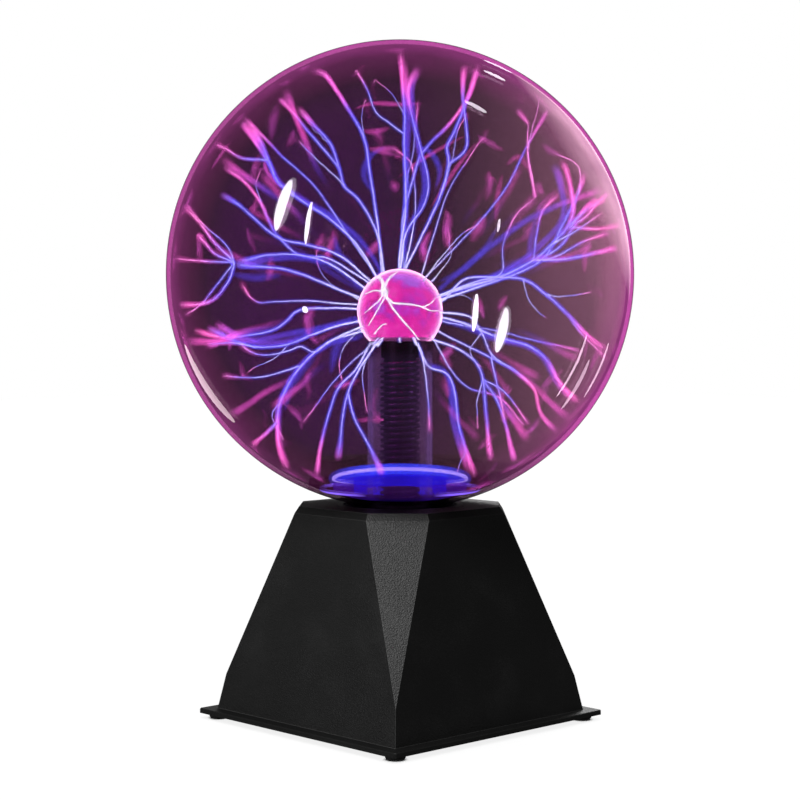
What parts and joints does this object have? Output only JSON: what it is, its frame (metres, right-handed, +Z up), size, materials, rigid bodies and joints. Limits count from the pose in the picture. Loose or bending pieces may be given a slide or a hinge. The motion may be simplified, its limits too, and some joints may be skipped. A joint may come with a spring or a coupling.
{
  "type": "plasma ball",
  "caption": "Plasma ball: a large glass globe with a glass-sheathed centre electrode on a faceted pyramid base, with a three-position rocker switch and a power inlet at the back.",
  "frame": {"origin": "on the surface the feet stand on, under the centre of the globe and of the square base", "axes": "+Z up through the globe; +Y to the rear wall with the switch and the power inlet; +X to the right when facing the rear wall's opposite face"},
  "size_m": [0.203, 0.203, 0.2959],
  "materials": {
    "base_housing": "fine spark-textured moulding, matt",
    "bottom_plate": "fine spark-textured moulding, matt",
    "rubber_feet": "matt",
    "bottom_plate_screws": "black zinc",
    "glass_globe": "clear gloss over a dark, gas-filled inside",
    "neck_gasket": "matt",
    "neck_collar": "moulded",
    "collar_screws": "bright zinc",
    "inner_glass_stem": "clear gloss",
    "electrode_core": "packed metal wool, lit pink by the discharge",
    "electrode_rod": "drawn",
    "coil_former": "dark moulding",
    "stem_plug": "matt",
    "stem_coil": "dark spring wire",
    "circuit_board": "green solder mask with tinned pads",
    "board_screws": "bright zinc",
    "transformer_core": "ground ferrite",
    "winding_formers": "natural nylon",
    "primary_winding": "enamelled copper wire",
    "secondary_winding": "yellow winding tape",
    "core_clamp": "spring steel strip",
    "heat_sink": "extruded, satin",
    "transistor_tab": "tinned copper",
    "transistor_body": "moulded epoxy",
    "transistor_legs": "tinned",
    "heat_sink_screw": "bright zinc",
    "can_capacitors": "blue shrink sleeve with an aluminium top",
    "film_capacitors": "dipped red lacquer",
    "driver_chip": "moulded epoxy",
    "chip_legs": "tinned",
    "resistors": "lacquered with colour bands",
    "resistor_legs": "tinned wire",
    "jack_body": "moulded, threaded behind the flange",
    "jack_nut": "nickel",
    "jack_pin": "nickelled brass",
    "jack_spring": "tinned bronze",
    "switch_frame": "moulded",
    "switch_terminals": "silver-faced brass",
    "microphone": "pressed can with a felt face",
    "microphone_boot": "matt",
    "power_leads": "insulated wire, one red and one black",
    "switch_leads": "insulated wire, white, grey and blue",
    "microphone_leads": "insulated wire, yellow",
    "high_voltage_lead": "red silicone insulation",
    "rod_ferrule": "crimped and tinned",
    "rocker": "moulded, white position marks",
    "rocker_plunger": "natural acetal",
    "plunger_spring": "music wire",
    "contact_seesaw": "silver-faced copper"
  },
  "bodies": {
    "base": {"base_housing": "base_housing", "bottom_plate": "bottom_plate", "rubber_feet": "rubber_feet", "bottom_plate_screws": "bottom_plate_screws", "glass_globe": "glass_globe", "neck_gasket": "neck_gasket", "neck_collar": "neck_collar", "collar_screws": "collar_screws", "inner_glass_stem": "inner_glass_stem", "electrode_core": "electrode_core", "electrode_rod": "electrode_rod", "coil_former": "coil_former", "stem_plug": "stem_plug", "stem_coil": "stem_coil", "circuit_board": "circuit_board", "board_screws": "board_screws", "transformer_core": "transformer_core", "winding_formers": "winding_formers", "primary_winding": "primary_winding", "secondary_winding": "secondary_winding", "core_clamp": "core_clamp", "heat_sink": "heat_sink", "transistor_tab": "transistor_tab", "transistor_body": "transistor_body", "transistor_legs": "transistor_legs", "heat_sink_screw": "heat_sink_screw", "can_capacitors": "can_capacitors", "film_capacitors": "film_capacitors", "driver_chip": "driver_chip", "chip_legs": "chip_legs", "resistors": "resistors", "resistor_legs": "resistor_legs", "jack_body": "jack_body", "jack_nut": "jack_nut", "jack_pin": "jack_pin", "jack_spring": "jack_spring", "switch_frame": "switch_frame", "switch_terminals": "switch_terminals", "microphone": "microphone", "microphone_boot": "microphone_boot", "power_leads": "power_leads", "switch_leads": "switch_leads", "microphone_leads": "microphone_leads", "high_voltage_lead": "high_voltage_lead", "rod_ferrule": "rod_ferrule"},
    "rocker": {"rocker": "rocker", "rocker_plunger": "rocker_plunger", "plunger_spring": "plunger_spring"},
    "contact_seesaw": {"contact_seesaw": "contact_seesaw"}
  },
  "joints": [
    {"name": "rocker_tilt", "type": "hinge", "parent": "base", "child": "rocker", "pos_m": [0.02, 0.05229, 0.03], "axis": [0, -0.1753, 0.9845], "range_deg": [-12, 12]},
    {"name": "seesaw_tilt", "type": "hinge", "parent": "base", "child": "contact_seesaw", "pos_m": [0.02, 0.04382, 0.02849], "axis": [0, -0.1753, 0.9845], "range_deg": [-7.3, 7.3]}
  ],
  "couplings": [
    {"joint": "seesaw_tilt", "follows": "rocker_tilt", "ratio": -0.6}
  ]
}
